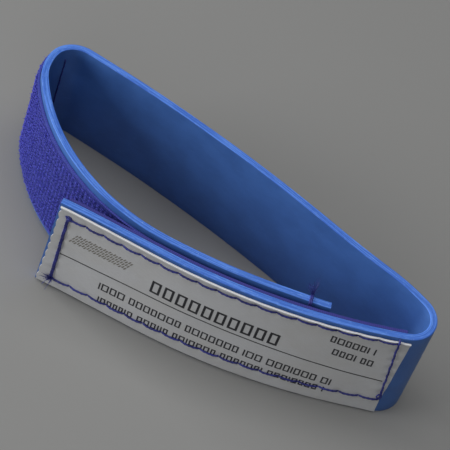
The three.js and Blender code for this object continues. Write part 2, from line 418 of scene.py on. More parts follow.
class Graph:
    """The node graph of one procedural material."""

    def __init__(self, name: str) -> None:
        """Starts an empty material of that name."""
        self.material = bpy.data.materials.new(name)
        self.material.use_nodes = True
        self.tree = self.material.node_tree
        self.tree.nodes.clear()
        attribute = self.node("ShaderNodeAttribute", {"attribute_name": "place"})
        scaled = self.node(
            "ShaderNodeVectorMath",
            {"operation": "SCALE"},
            {"Vector": attribute.outputs["Vector"], "Scale": 1 / MM},
        )
        parts = self.node("ShaderNodeSeparateXYZ", {}, {"Vector": scaled.outputs[0]})
        self.along, self.out, self.up = (Value(self, socket) for socket in parts.outputs)

    def node(
        self,
        kind: str,
        settings: Mapping[str, Any] | None = None,
        sockets: Mapping[str | int, Any] | None = None,
    ) -> bpy.types.Node:
        """Adds a node of any kind.

        Args:
            kind: The node's type.
            settings: Its properties. "stops" holds a ramp's positions and colours.
            sockets: What each input gets: a number, a colour, a Value or a socket.

        Returns:
            The new node.
        """
        made = self.tree.nodes.new(kind)
        for key, setting in (settings or {}).items():
            if key == "stops":
                self._set_stops(made.color_ramp, setting)
            else:
                setattr(made, key, setting)
        for key, value in (sockets or {}).items():
            self._feed(made.inputs[key], value)
        return made

    def _set_stops(
        self, ramp: bpy.types.ColorRamp, stops: Sequence[tuple[float, Colour]]
    ) -> None:
        """Gives a ramp its stops."""
        while len(ramp.elements) < len(stops):
            ramp.elements.new(1.0)
        for element, (position, colour) in zip(ramp.elements, stops, strict=True):
            element.position = position
            element.color = (*colour, 1.0)

    def _feed(self, socket: bpy.types.NodeSocket, value: Any) -> None:
        """Links or sets one input."""
        if isinstance(value, Value):
            value = value.socket
        if isinstance(value, bpy.types.NodeSocket):
            self.tree.links.new(value, socket)
        elif socket.type == "RGBA":
            socket.default_value = (*value, 1.0)
        else:
            socket.default_value = value

    def maths(self, operation: str, *values: Number) -> Value:
        """Adds a Math node."""
        made = self.node("ShaderNodeMath", {"operation": operation}, dict(enumerate(values)))
        return Value(self, made.outputs[0])

    def clamped(self, value: Number) -> Value:
        """The value kept between 0 and 1."""
        made = self.node("ShaderNodeClamp", {}, {"Value": value})
        return Value(self, made.outputs[0])

    def step(self, value: Value, start: float, end: float) -> Value:
        """Rises smoothly from 0 at start to 1 at end."""
        made = self.node(
            "ShaderNodeMapRange",
            {"interpolation_type": "SMOOTHSTEP"},
            {"Value": value, "From Min": start, "From Max": end},
        )
        return Value(self, made.outputs[0])

    def vector(self, x: Number, y: Number, z: Number) -> bpy.types.NodeSocket:
        """A vector of three numbers."""
        return self.node("ShaderNodeCombineXYZ", {}, {"X": x, "Y": y, "Z": z}).outputs[0]

    def noise(
        self, along: float, out: float, up: float, detail: float = 3.0, rough: float = 0.55
    ) -> Value:
        """Noise over the strap.

        Args:
            along: How many lumps there are in a millimetre along the strap.
            out: The same, out from its middle.
            up: The same, up across its width.
            detail: How many finer layers it has.
            rough: How strong the finer layers are.

        Returns:
            A value from 0 to 1, mostly near 0.5.
        """
        at = self.vector(self.along * along, self.out * out, self.up * up)
        made = self.node(
            "ShaderNodeTexNoise",
            {},
            {"Vector": at, "Scale": 1.0, "Detail": detail, "Roughness": rough},
        )
        return Value(self, made.outputs[0])

    def wave(self, value: Value, pitch: float) -> Value:
        """A ripple from 0 to 1 that repeats over each pitch, in millimetres."""
        return self.maths("SINE", value * (FULL_TURN / pitch)) * 0.5 + 0.5

    def mix(self, factor: Number, first: Any, second: Any) -> bpy.types.NodeSocket:
        """Blends two colours.

        Args:
            factor: 0 for the first and 1 for the second.
            first: A colour or a colour socket.
            second: A colour or a colour socket.

        Returns:
            The blended colour's socket.
        """
        made = self.node(
            "ShaderNodeMix", {"data_type": "RGBA"}, {0: factor, 6: first, 7: second}
        )
        return made.outputs[2]

    def bump(self, height: Value, depth: float) -> bpy.types.NodeSocket:
        """A relief normal, for a height from 0 to 1 and a depth in metres."""
        made = self.node("ShaderNodeBump", {}, {"Distance": depth, "Height": height})
        return made.outputs[0]

    def finish(self, **sockets: Any) -> bpy.types.Material:
        """Adds the surface shader.

        Args:
            sockets: Its inputs, with underscores for the spaces in their names.

        Returns:
            The finished material.
        """
        inputs = {key.replace("_", " "): value for key, value in sockets.items()}
        shader = self.node("ShaderNodeBsdfPrincipled", {}, inputs)
        self.node("ShaderNodeOutputMaterial", {}, {"Surface": shader.outputs[0]})
        return self.material


@dataclass(frozen=True)
class RubberFace:
    """Calendered blue rubber: smooth, faintly mottled and streaked along the strap."""

    name: str = "rubber_face"
    colour: Colour = (0.060, 0.170, 0.50)
    shade: Colour = (0.048, 0.138, 0.42)
    scuff: Colour = (0.095, 0.22, 0.60)

    def material(self) -> bpy.types.Material:
        """Makes the material."""
        graph = Graph(self.name)
        mottle = graph.step(graph.noise(0.16, 0.3, 0.2), 0.3, 0.7)
        streak = graph.noise(0.12, 1.0, 2.4, detail=4.0)
        grain = graph.noise(9.0, 9.0, 9.0, detail=2.0)
        scuffs = graph.step(graph.noise(0.5, 0.5, 1.9, detail=5.0), 0.62, 0.72)
        base = graph.mix(mottle, self.shade, self.colour)
        base = graph.mix(scuffs * 0.22 + streak * 0.10, base, self.scuff)
        relief = graph.bump(grain * 0.5 + streak * 0.5, 0.02 * MM)
        return graph.finish(
            Base_Color=base,
            Roughness=0.38 + grain * 0.12 + mottle * 0.08,
            Normal=relief,
            Specular_IOR_Level=0.45,
        )


@dataclass(frozen=True)
class RubberCutEdge:
    """The strap's cut edges: paler, with lines left by the blade and specks of filler."""

    name: str = "rubber_cut_edge"
    colour: Colour = (0.105, 0.270, 0.84)
    line: Colour = (0.045, 0.150, 0.60)
    pale: Colour = (0.21, 0.42, 0.93)
    speck: Colour = (0.50, 0.66, 0.95)

    def material(self) -> bpy.types.Material:
        """Makes the material."""
        graph = Graph(self.name)
        lines = graph.step(graph.noise(0.07, 3.8, 0.4, detail=3.0), 0.42, 0.60)
        pale = graph.step(graph.noise(0.7, 4.0, 1.0, detail=4.0), 0.5, 0.75)
        specks = graph.step(graph.noise(4.2, 4.2, 4.2, detail=1.0), 0.74, 0.79)
        blade = graph.noise(2.6, 0.7, 1.5, detail=4.0)
        base = graph.mix(lines, self.line, self.colour)
        base = graph.mix(pale * 0.45, base, self.pale)
        base = graph.mix(specks * 0.7, base, self.speck)
        relief = graph.bump(blade * 0.6 + lines * 0.4, 0.06 * MM)
        return graph.finish(
            Base_Color=base, Roughness=0.5 + blade * 0.2, Normal=relief, Specular_IOR_Level=0.35
        )


@dataclass(frozen=True)
class NapYarn:
    """Dyed nylon yarn of the tapes, with painted shade that darkens it towards its roots."""

    name: str
    # root: painted shade, the darker colour near the ground; tip: the colour at the tips.
    root: Colour
    tip: Colour
    glint: Colour
    root_out: float
    tip_out: float
    sheen: float = 0.35
    roughness: float = 0.62

    def material(self) -> bpy.types.Material:
        """Makes the material."""
        graph = Graph(self.name)
        height = graph.step(graph.out, self.root_out / MM, self.tip_out / MM)
        patches = graph.noise(0.22, 0.5, 0.3, detail=3.0)
        yarn = graph.noise(1.7, 2.0, 2.3, detail=3.0)
        # Painted shade: the colour runs from the darker root colour near the ground to the lighter
        # tip colour, mixed with random patches.
        base = graph.mix(graph.clamped(height * 0.75 + patches * 0.35), self.root, self.tip)
        base = graph.mix(graph.step(yarn, 0.52, 0.72) * 0.55, base, self.glint)
        fibre = graph.noise(14.0, 14.0, 14.0, detail=1.0)
        return graph.finish(
            Base_Color=base,
            Roughness=self.roughness + fibre * 0.2,
            Normal=graph.bump(fibre, 0.03 * MM),
            Sheen_Weight=self.sheen,
            Sheen_Roughness=0.4,
            Sheen_Tint=self.glint,
            Specular_IOR_Level=0.4,
        )


@dataclass(frozen=True)
class TapeGround:
    """The knitted or woven ground that the pile or the hooks stand on."""

    name: str
    colour: Colour
    rib: Colour
    pitch: float = 0.5

    def material(self) -> bpy.types.Material:
        """Makes the material."""
        graph = Graph(self.name)
        ribs = graph.wave(graph.along, self.pitch) * 0.5 + graph.wave(graph.up, self.pitch) * 0.5
        patches = graph.noise(0.4, 0.4, 0.4, detail=4.0)
        base = graph.mix(graph.clamped(ribs * 0.7 + patches * 0.3), self.colour, self.rib)
        return graph.finish(
            Base_Color=base,
            Roughness=0.7 + patches * 0.2,
            Normal=graph.bump(ribs * 0.8 + patches * 0.2, 0.05 * MM),
            Sheen_Weight=0.25,
            Sheen_Tint=self.rib,
        )


@dataclass(frozen=True)
class LabelWeave:
    """Fine grey-white woven label cloth, a little soiled towards its edges, with a painted highlight
    on its raised hem.
    """

    name: str = "label_weave"
    colour: Colour = (0.70, 0.71, 0.73)
    shade: Colour = (0.48, 0.49, 0.51)
    soil: Colour = (0.52, 0.51, 0.48)
    # hem: painted highlight, a whiter colour on the raised hem where light falls from above.
    hem: Colour = (0.93, 0.94, 0.95)
    hem_highlight_from: float = 1.39
    hem_highlight_to: float = 1.50
    warp_pitch: float = 0.17
    weft_pitch: float = 0.24

    def material(self) -> bpy.types.Material:
        """Makes the material."""
        graph = Graph(self.name)
        warp = graph.wave(graph.up, self.warp_pitch)
        weft = graph.wave(graph.along, self.weft_pitch)
        weave = warp * 0.55 + weft * 0.45
        slub = graph.noise(0.8, 0.8, 7.0, detail=3.0)
        clouds = graph.step(graph.noise(0.11, 0.3, 0.18, detail=4.0), 0.35, 0.7)
        spots = graph.step(graph.noise(0.9, 0.9, 0.9, detail=2.0), 0.70, 0.78)
        base = graph.mix(graph.clamped(weave * 0.45 + slub * 0.55), self.shade, self.colour)
        base = graph.mix(clouds * 0.35 + spots * 0.3, base, self.soil)
        # Painted highlight: the raised hem, the outermost part of the cloth, is turned whiter.
        base = graph.mix(graph.step(graph.out, self.hem_highlight_from, self.hem_highlight_to), base, self.hem)
        return graph.finish(
            Base_Color=base,
            Roughness=0.62 + slub * 0.25,
            Normal=graph.bump(weave * 0.7 + slub * 0.3, 0.035 * MM),
            Sheen_Weight=0.2,
            Specular_IOR_Level=0.4,
        )


@dataclass(frozen=True)
class PrintInk:
    """Ink printed on the label, which the weave breaks up a little."""

    name: str
    colour: Colour
    worn: Colour
    wear: float = 0.3

    def material(self) -> bpy.types.Material:
        """Makes the material."""
        graph = Graph(self.name)
        worn = graph.step(graph.noise(2.2, 2.0, 3.4, detail=4.0), 0.5, 0.75)
        base = graph.mix(worn * self.wear, self.colour, self.worn)
        return graph.finish(Base_Color=base, Roughness=0.55 + worn * 0.25)


@dataclass(frozen=True)
class SewingThread:
    """Twisted dark blue polyester thread."""

    name: str = "sewing_thread"
    colour: Colour = (0.012, 0.014, 0.13)
    light: Colour = (0.040, 0.050, 0.32)

    def material(self) -> bpy.types.Material:
        """Makes the material."""
        graph = Graph(self.name)
        fibre = graph.noise(5.0, 6.0, 5.0, detail=4.0)
        patches = graph.noise(0.5, 0.5, 0.5, detail=2.0)
        base = graph.mix(graph.step(fibre * 0.6 + patches * 0.4, 0.4, 0.65), self.colour, self.light)
        return graph.finish(
            Base_Color=base,
            Roughness=0.45 + fibre * 0.25,
            Normal=graph.bump(fibre, 0.04 * MM),
            Sheen_Weight=0.3,
            Sheen_Tint=self.light,
        )


@dataclass(frozen=True)
class StudioFloor:
    """The plain pale floor."""

    name: str = "studio_floor"
    colour: Colour = (0.26, 0.26, 0.255)

    def material(self) -> bpy.types.Material:
        """Makes the material."""
        return Graph(self.name).finish(Base_Color=self.colour, Roughness=0.8)


# ---------------------------------------------------------------------------
# Meshes in strap coordinates
# ---------------------------------------------------------------------------


class Skin:
    """Gathers the points and faces of one piece, in strap coordinates."""

    SHARP_ANGLE = math.radians(50)

    def __init__(self) -> None:
        """Starts with nothing."""
        self.chunks: list[np.ndarray] = []
        self.faces: list[tuple[int, ...]] = []
        self.slots: list[int] = []
        self.count = 0

    def add_points(self, places: Sequence[Place] | np.ndarray) -> range:
        """Adds points.

        Args:
            places: Their places on the strap, one row each.

        Returns:
            Their numbers.
        """
        chunk = np.asarray(places, float).reshape(-1, 3)
        self.chunks.append(chunk)
        self.count += len(chunk)
        return range(self.count - len(chunk), self.count)

    def add_face(self, corners: Iterable[int], slot: int = 0) -> None:
        """Adds one face."""
        self.faces.append(tuple(corners))
        self.slots.append(slot)

    def loft(
        self, rings: Sequence[np.ndarray], slots: Sequence[int] | None = None, ladder: bool = True
    ) -> None:
        """Skins closed rings of points, one after the other, and closes both ends.

        Args:
            rings: The rings, all with the same number of points.
            slots: The finish of each strip between two neighbouring points of a ring.
            ladder: Whether an end is closed by rungs across a flat ring, and not by one face.
        """
        numbers = [self.add_points(ring) for ring in rings]
        size = len(numbers[0])
        strip = list(slots) if slots else [0] * size
        for first, second in zip(numbers, numbers[1:], strict=False):
            for corner in range(size):
                after = (corner + 1) % size
                face = (first[corner], first[after], second[after], second[corner])
                self.add_face(face, strip[corner])
        for ring in (numbers[0], numbers[-1]):
            if not ladder:
                self.add_face(ring, strip[0])
                continue
            for rung in range(size // 2 - 1):
                far = size - 1 - rung
                self.add_face((ring[rung], ring[rung + 1], ring[far - 1], ring[far]), strip[-1])

    def tube(
        self,
        route: Sequence[Place],
        radius: float,
        sides: int = 6,
        ply: float = 0.0,
        twist: float = 0.0,
        slot: int = 0,
    ) -> None:
        """Adds a closed tube along a route.

        Args:
            route: The points of its middle line.
            radius: Its radius.
            sides: How many sides it has.
            ply: How deep the groove between its two plies is, as a share of the radius.
            twist: How far the plies turn for each metre.
            slot: Its finish.
        """
        points = [Vector(place) for place in route]
        side = Vector((0.13, 0.71, 0.69))
        rings = []
        travelled = 0.0
        for index, point in enumerate(points):
            before = points[max(index - 1, 0)]
            after = points[min(index + 1, len(points) - 1)]
            travelled += (point - before).length
            tangent = (after - before).normalized()
            side = (side - tangent * side.dot(tangent)).normalized()
            other = tangent.cross(side)
            ring = []
            for corner in range(sides):
                angle = FULL_TURN * corner / sides
                groove = ply * math.cos(2 * (angle - twist * travelled))
                reach = radius * (1 + groove)
                spoke = side * math.cos(angle) + other * math.sin(angle)
                ring.append(point + spoke * reach)
            rings.append(np.array(ring))
        self.loft(rings, [slot] * sides, ladder=False)

    def stamp(self, pattern: "Skin", at: Place) -> None:
        """Adds a copy of another skin.

        Args:
            pattern: The skin to copy.
            at: How far the copy is moved.
        """
        moved = pattern.places() + np.array(at)
        first = self.add_points(moved).start
        for face, slot in zip(pattern.faces, pattern.slots, strict=True):
            self.add_face((first + corner for corner in face), slot)

    def places(self) -> np.ndarray:
        """All points so far, one row each."""
        return np.concatenate(self.chunks)

    def piece(
        self, name: str, line: StrapLine, materials: Sequence[bpy.types.Material]
    ) -> bpy.types.Object:
        """Makes the object.

        Args:
            name: The piece's name.
            line: The line that the strap follows.
            materials: Its finishes, in the order of the slots' numbers.

        Returns:
            The new object, in place.
        """
        places = self.places()
        mesh = bpy.data.meshes.new(name)
        mesh.from_pydata(line.positions(places).tolist(), [], self.faces)
        for material in materials:
            mesh.materials.append(material)
        mesh.polygons.foreach_set("material_index", self.slots)
        stored = mesh.attributes.new("place", "FLOAT_VECTOR", "POINT")
        stored.data.foreach_set("vector", places.ravel())
        tidy = bmesh.new()
        tidy.from_mesh(mesh)
        bmesh.ops.recalc_face_normals(tidy, faces=tidy.faces)
        tidy.to_mesh(mesh)
        tidy.free()
        mesh.polygons.foreach_set("use_smooth", [True] * len(mesh.polygons))
        mesh.set_sharp_from_angle(angle=self.SHARP_ANGLE)
        made = bpy.data.objects.new(name, mesh)
        bpy.context.scene.collection.objects.link(made)
        return made


def stations(start: float, end: float, step: float) -> np.ndarray:
    """Evenly spaced distances.

    Args:
        start: The first distance.
        end: The last distance.
        step: How far apart they may be at most.

    Returns:
        The distances.
    """
    return np.linspace(start, end, max(2, math.ceil((end - start) / step) + 1))


def ripple(place: Place, rate: Place, seed: float) -> float:
    """Smooth noise from -1 to 1 over the strap; rate gives lumps for each millimetre."""
    scaled = [value / MM * lumps for value, lumps in zip(place, rate, strict=True)]
    return noise.noise(Vector(scaled) + Vector((seed, seed, seed)))


def strand(start: Vector, heading: Vector, curl: Vector, steps: int) -> list[Place]:
    """A fine fibre's route.

    Args:
        start: Where it starts.
        heading: How far it would reach if it were straight.
        curl: How far its end strays from there.
        steps: How many parts it has.

    Returns:
        The points of its middle line.
    """
    shares = [step / steps for step in range(steps + 1)]
    return [tuple(start + heading * share + curl * share * share) for share in shares]


def place_on(
    piece: bpy.types.Object, body: Body, slot: Slot, *nodes: str
) -> bpy.types.Object:
    """Makes a piece ride on a body.

    Args:
        piece: The piece.
        body: The body that it rides on.
        slot: Its record slot; not used.
        nodes: The CAD nodes that it replaces.

    Returns:
        The same piece.
    """
    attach(piece, body.value)
    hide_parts(*nodes)
    return piece


# ---------------------------------------------------------------------------
# The rubber strap
# ---------------------------------------------------------------------------


@dataclass
class RubberStrap:
    """The one flat rubber strip, divided only where it flexes."""

    line: StrapLine
    corner_radius: float = 0.16 * MM
    face_rows: int = 11
    edge_rows: int = 6
    step: float = 0.5 * MM
    face_waviness: float = 0.04 * MM
    edge_roughness: float = 0.05 * MM
    left_fold_from: float = 94.055 * MM
    left_fold_to: float = 100.5 * MM

    def build(self) -> Iterator[bpy.types.Object]:
        """Builds each length of rubber, from the inner end to the tab."""
        finishes = (RubberFace().material(), RubberCutEdge().material())
        line = self.line
        seams = [line.seam(number) for number in range(line.bend_joints + 1)]

        arm = self._length("rubber_arm", 0, self.left_fold_from, finishes)
        yield place_on(arm, Body.ARM, Slot.RUBBER, "strap_arm")

        fold = self._length("rubber_left_fold", self.left_fold_from, self.left_fold_to, finishes)
        yield self._flex(fold, Body.ARM, Body.BAND, self.left_fold_from, self.left_fold_to)

        back = self._length("rubber_back", self.left_fold_to, seams[0], finishes)
        yield place_on(back, Body.BAND, Slot.RUBBER, "strap_back")

        links = [Body.BAND, Body.BEND_1, Body.BEND_2, Body.BEND_3, Body.TAB]
        nodes = ["strap_bend_1", "strap_bend_2", "strap_bend_3"]
        for number, (start, end) in enumerate(zip(seams, seams[1:], strict=False)):
            bend = self._length(f"rubber_bend_{number + 1}", start, end, finishes)
            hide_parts(*nodes[number : number + 1])
            yield self._flex(bend, links[number], links[number + 1], start, end)

        tab = self._length("rubber_tab", seams[-1], line.length, finishes)
        yield place_on(tab, Body.TAB, Slot.RUBBER, "strap_tab")

    def _half_profile(self) -> list[tuple[float, float, bool]]:
        """The outer half of the strap's section, from its lower edge to its upper edge.

        Returns:
            Points of out and up, and whether the strip after each is a cut edge.
        """
        radius = self.corner_radius
        half = self.line.layers.outer_face
        width = self.line.layers.width
        flat = half - radius
        lower = [
            (flat * (2 * row + 1) / self.edge_rows, 0.0, True)
            for row in range(self.edge_rows // 2)
        ]
        corner = [
            (flat + radius * math.sin(angle), radius * (1 - math.cos(angle)), True)
            for angle in (0.0, math.pi / 6, math.pi / 3)
        ]
        rows = self.face_rows
        rise = width - 2 * radius
        side = [(half, radius + rise * row / rows, row == rows) for row in range(rows + 1)]
        top = [(out, width - up, True) for out, up, _ in reversed(lower + corner)]
        return lower + corner + side + top

    def _length(
        self, name: str, start: float, end: float, finishes: Sequence[bpy.types.Material]
    ) -> bpy.types.Object:
        """Builds the rubber between two distances along the strap.

        Args:
            name: The piece's name.
            start: Where it starts.
            end: Where it ends.
            finishes: The finish of its faces, and that of its cut edges.

        Returns:
            The new piece.
        """
        half = self._half_profile()
        outline = [(out, up) for out, up, _ in half]
        outline += [(-out, up) for out, up, _ in reversed(half)]
        strips = [int(cut) for _, _, cut in half[:-1]]
        slots = [*strips, 1, *reversed(strips), 1]
        rings = []
        for along in stations(start, end, self.step):
            rings.append(np.array([self._worn((along, out, up)) for out, up in outline]))
        skin = Skin()
        skin.loft(rings, slots)
        return skin.piece(name, self.line, finishes)

    def _worn(self, place: Place) -> Place:
        """Moves a point of the section by the rubber's own unevenness.

        Args:
            place: The even point.

        Returns:
            The point as it lies on the real rubber.
        """
        along, out, up = place
        width = self.line.layers.width
        wave = self.face_waviness * ripple(place, (0.09, 0.2, 0.12), 3.0)
        rough = self.edge_roughness * ripple(place, (1.1, 1.6, 0.2), 17.0)
        if up <= self.corner_radius:
            return along, out + wave, max(up, 0.0)
        if up >= width - self.corner_radius:
            return along, out + wave, min(up, width) + min(rough, 0.0)
        return along, out + wave, up

    def _flex(
        self, piece: bpy.types.Object, before: Body, after: Body, start: float, end: float
    ) -> bpy.types.Object:
        """Works out how far the corners of a length of rubber's slanting start reach along it, and
        bakes its placement into its mesh.

        Args:
            piece: The length of rubber.
            before: The body at its start; not used.
            after: The body at its end; not used.
            start: Where it starts along the strap.
            end: Where it ends.

        Returns:
            The same piece.
        """
        first = self.line.position(start)
        last = self.line.position(end)
        chord = (last - first).normalized()
        corners = [self.line.position(start, side * self.line.layers.rubber) for side in (-1, 1)]
        inset = max((corner - first).dot(chord) for corner in corners)
        chord = chord * inset
        first + chord
        last - chord
        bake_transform(piece)
        return piece


# ---------------------------------------------------------------------------
# Stitching
# ---------------------------------------------------------------------------


@dataclass(frozen=True)
class StitchRow:
    """One row of stitches from one place on the strap to another."""

    start: tuple[float, float]
    end: tuple[float, float]
    pitch: float
    doubled: bool = False

    def holes(self) -> list[tuple[float, float]]:
        """Where the needle went through, as along and up."""
        run = math.dist(self.start, self.end)
        count = max(1, round(run / self.pitch))
        return [
            (
                self.start[0] + (self.end[0] - self.start[0]) * hole / count,
                self.start[1] + (self.end[1] - self.start[1]) * hole / count,
            )
            for hole in range(count + 1)
        ]


@dataclass
class Stitcher:
    """Lays thread stitches on a surface of the strap."""

    line: StrapLine
    surface: Callable[[float, float], float]
    outwards: int = 1
    radius: float = 0.2 * MM
    dive: float = 0.42 * MM
    hump: float = 0.05 * MM
    slack: float = 0.03 * MM
    rings: int = 20
    sides: int = 8
    ply: float = 0.16
    twist: float = 3.4 / MM
    strand_share: float = 0.14
    chance: random.Random = field(default_factory=lambda: random.Random(5))

    def sew(self, skin: Skin, row: StitchRow) -> None:
        """Adds every stitch of a row.

        Args:
            skin: What they are added to.
            row: The row. A doubled row has two stitches side by side.
        """
        holes = row.holes()
        for number, (first, second) in enumerate(zip(holes, holes[1:], strict=False)):
            tilt = self.slack * (1 if number % 2 else -1)
            if not row.doubled:
                self._stitch(skin, first, second, tilt)
                continue
            for aside in (-0.75 * self.radius, 0.75 * self.radius):
                self._stitch(skin, first, second, 0.3 * tilt, aside)

    def _stitch(
        self,
        skin: Skin,
        first: tuple[float, float],
        second: tuple[float, float],
        bow: float,
        aside: float = 0.0,
    ) -> None:
        """Adds one stitch that comes up through one hole and goes down through the next.

        Args:
            skin: What it is added to.
            first: The hole that it comes up through, as along and up.
            second: The hole that it goes down through.
            bow: How far it strays from the straight.
            aside: How far it lies to one side of the row.
        """
        run = math.dist(first, second)
        ahead = ((second[0] - first[0]) / run, (second[1] - first[1]) / run)
        bow += self.chance.uniform(-0.4, 0.4) * self.slack
        route = []
        for step in range(self.rings + 1):
            share = step / self.rings
            arch = math.sin(math.pi * share)
            sway = aside + bow * math.sin(FULL_TURN * share) * 0.7 + bow * arch * 0.6
            along = first[0] + ahead[0] * run * share - ahead[1] * sway
            up = first[1] + ahead[1] * run * share + ahead[0] * sway
            depth = self.dive * (0.5 if aside else 1.0) * (1 - min(1.0, arch * 3.2)) ** 2
            lift = self.radius * 0.75 + self.hump * arch - depth
            out = self.surface(along, up) + self.outwards * lift
            route.append((along, out, up))
        skin.tube(route, self.radius, self.sides, self.ply, self.twist)

    def tuft(
        self, skin: Skin, at: Place, lean: Place, strands: int, length: float, spread: float
    ) -> None:
        """Adds a frayed thread end.

        Args:
            skin: What the strands are added to.
            at: Where they start.
            lean: The direction that they lean in.
            strands: How many there are.
            length: How long they are.
            spread: How far they stray from the lean, as a share of it.
        """
        for _ in range(strands):
            heading = Vector(lean).normalized()
            heading += Vector([self.chance.uniform(-spread, spread) for _ in range(3)])
            curl = Vector([self.chance.uniform(-1, 1) for _ in range(3)]) * spread
            reach = length * self.chance.uniform(0.55, 1.0)
            route = strand(Vector(at), heading * reach, curl * 0.8 * reach, steps=8)
            skin.tube(route, self.radius * self.strand_share, 4)


# ---------------------------------------------------------------------------
# The loop tape
# ---------------------------------------------------------------------------


@dataclass
class LoopTape:
    """The napped tape on the outer face of the strap's inner end."""

    line: StrapLine
    start: float = 2.6 * MM
    into_left_fold: float = 4.2 * MM
    margin: float = 1.6 * MM
    ground: float = 0.3 * MM
    selvage: float = 0.7 * MM
    selvage_rise: float = 0.14 * MM
    row_pitch: float = 1.12 * MM
    loop_pitch: float = 0.5 * MM
    loop_kinds: int = 40
    loop_width: float = 0.78 * MM
    loop_height: float = 0.5 * MM
    yarn_radius: float = 0.09 * MM
    loop_sunk: float = 0.05 * MM
    shift_along: float = 0.13 * MM
    shift_up: float = 0.15 * MM
    first_row: float = 0.5 * MM
    last_row: float = 0.3 * MM
    stray_fibres: int = 420
    fibre_radius: float = 0.03 * MM
    stitch_from_end: float = 1.3 * MM
    stitch_from_edge: float = 1.4 * MM
    stitch_pitch: float = 2.6 * MM
    stitch_slant: float = 0.25 * MM
    thread_radius: float = 0.17 * MM
    sunk_in_pile: float = 0.2 * MM

    @property
    def end(self) -> float:
        """Where the tape ends, a little way into the left fold."""
        return self.line.left_fold_start + self.into_left_fold

    @property
    def high(self) -> float:
        """The height of its upper edge."""
        return self.line.layers.width - self.margin

    def build(self) -> Iterator[bpy.types.Object]:
        """Builds the ground, the pile and the two stitched rows."""
        layers = self.line.layers
        root = layers.tape_back + self.ground
        # The pile yarn's darker root colour is painted shade near the tape's ground.
        yarn = NapYarn(
            "loop_pile_yarn",
            root=(0.022, 0.020, 0.20),
            tip=(0.066, 0.070, 0.54),
            glint=(0.12, 0.16, 0.82),
            root_out=root,
            tip_out=layers.pile_tips,
        ).material()
        ground = TapeGround(
            "loop_tape_ground", colour=(0.028, 0.028, 0.22), rib=(0.07, 0.10, 0.50)
        ).material()
        base = self._ground().piece("loop_tape_ground", self.line, [ground])
        place_on(base, Body.ARM, Slot.PILE, "loop_tape")
        flat = (self.high - self.margin, self.end - self.start)
        yield base
        pile = self._pile().piece("loop_tape_pile", self.line, [yarn])
        yield place_on(pile, Body.ARM, Slot.PILE)
        yield from self._threads()

    def _ground(self) -> Skin:
        """The tape's own ground, with a raised selvage along both edges."""
        layers = self.line.layers
        heights = stations(self.margin, self.high, 0.35 * MM)
        middle = (self.margin + self.high) / 2
        reach = (self.high - self.margin) / 2
        rings = []
        for along in stations(self.start, self.end, 0.45 * MM):
            front = []
            for up in heights:
                inset = reach - abs(up - middle)
                rim = self.selvage_rise * float(smooth_step(self.selvage, 0.15 * MM, inset))
                fuzz = 0.05 * MM * ripple((along, 0, up), (1.8, 1, 1.8), 9.0)
                edge = 0.09 * MM * ripple((along, 0, up), (0.7, 1, 0.05), 31.0)
                out = layers.tape_back + self.ground + rim + fuzz
                stray = edge * (up - middle) / reach
                front.append((along, out, up + stray))
            back = [(along, layers.tape_back, up) for along, _, up in reversed(front)]
            rings.append(np.array(front + back))
        skin = Skin()
        skin.loft(rings)
        return skin

    def _pile(self) -> Skin:
        """The nap: rows of small yarn loops, and a few fibres pulled out of them."""
        chance = random.Random(11)
        kinds = [self._loop(chance) for _ in range(self.loop_kinds)]
        root = self.line.layers.tape_back + self.ground - self.loop_sunk
        low = self.margin + self.selvage
        high = self.high - self.selvage
        skin = Skin()
        columns = int((self.end - self.start - self.first_row - self.last_row) / self.row_pitch)
        rows = int((high - low) / self.loop_pitch)
        for column in range(columns + 1):
            for row in range(rows + 1):
                along = self.start + self.first_row + column * self.row_pitch
                along += chance.uniform(-self.shift_along, self.shift_along)
                up = low + row * self.loop_pitch + chance.uniform(-self.shift_up, self.shift_up)
                if along < self.end - self.last_row:
                    skin.stamp(chance.choice(kinds), (along, root, up))
        self._pull_fibres(skin, chance, root)
        return skin

    def _loop(self, chance: random.Random) -> Skin:
        """One loop of yarn, turned its own way.

        Args:
            chance: What draws its size, its turn and its lean.

        Returns:
            The loop, standing at the origin.
        """
        turn = chance.uniform(-0.5, 0.5)
        height = self.loop_height * chance.uniform(0.7, 1.0)
        width = self.loop_width * chance.uniform(0.75, 1.15)
        tip = chance.uniform(-0.35, 0.35) * height
        route = []
        for step in range(7):
            angle = math.pi * (step / 6 * 1.2 - 0.1)
            side = -math.cos(angle) * width / 2
            rise = math.sin(angle) * height
            lean = tip * rise / height
            route.append(
                (
                    side * math.cos(turn) - lean * math.sin(turn),
                    rise,
                    side * math.sin(turn) + lean * math.cos(turn),
                )
            )
        skin = Skin()
        skin.tube(route, self.yarn_radius * chance.uniform(0.8, 1.15), 4)
        return skin

    def _pull_fibres(self, skin: Skin, chance: random.Random, root: float) -> None:
        """Adds fine fibres that stand proud of the pile where the tab doesn't press on it.

        Args:
            skin: What they are added to.
            chance: What draws their places and curls.
            root: How far out the pile's roots are.
        """
        free_from = self.line.arm_end_length + self.line.arm_closed_length
        for _ in range(self.stray_fibres):
            along = chance.uniform(free_from, self.end - 0.5 * MM)
            up = chance.uniform(self.margin, self.high)
            point = Vector((along, root + 0.2 * MM, up))
            heading = Vector(
                (chance.uniform(-0.9, 0.9), chance.uniform(0.35, 1.0), chance.uniform(-0.8, 0.8))
            )
            curl = Vector([chance.uniform(-0.5, 0.5) for _ in range(3)])
            reach = chance.uniform(0.35, 0.75) * MM
            route = strand(point, heading * reach, curl * reach, steps=5)
            skin.tube(route, self.fibre_radius, 3)

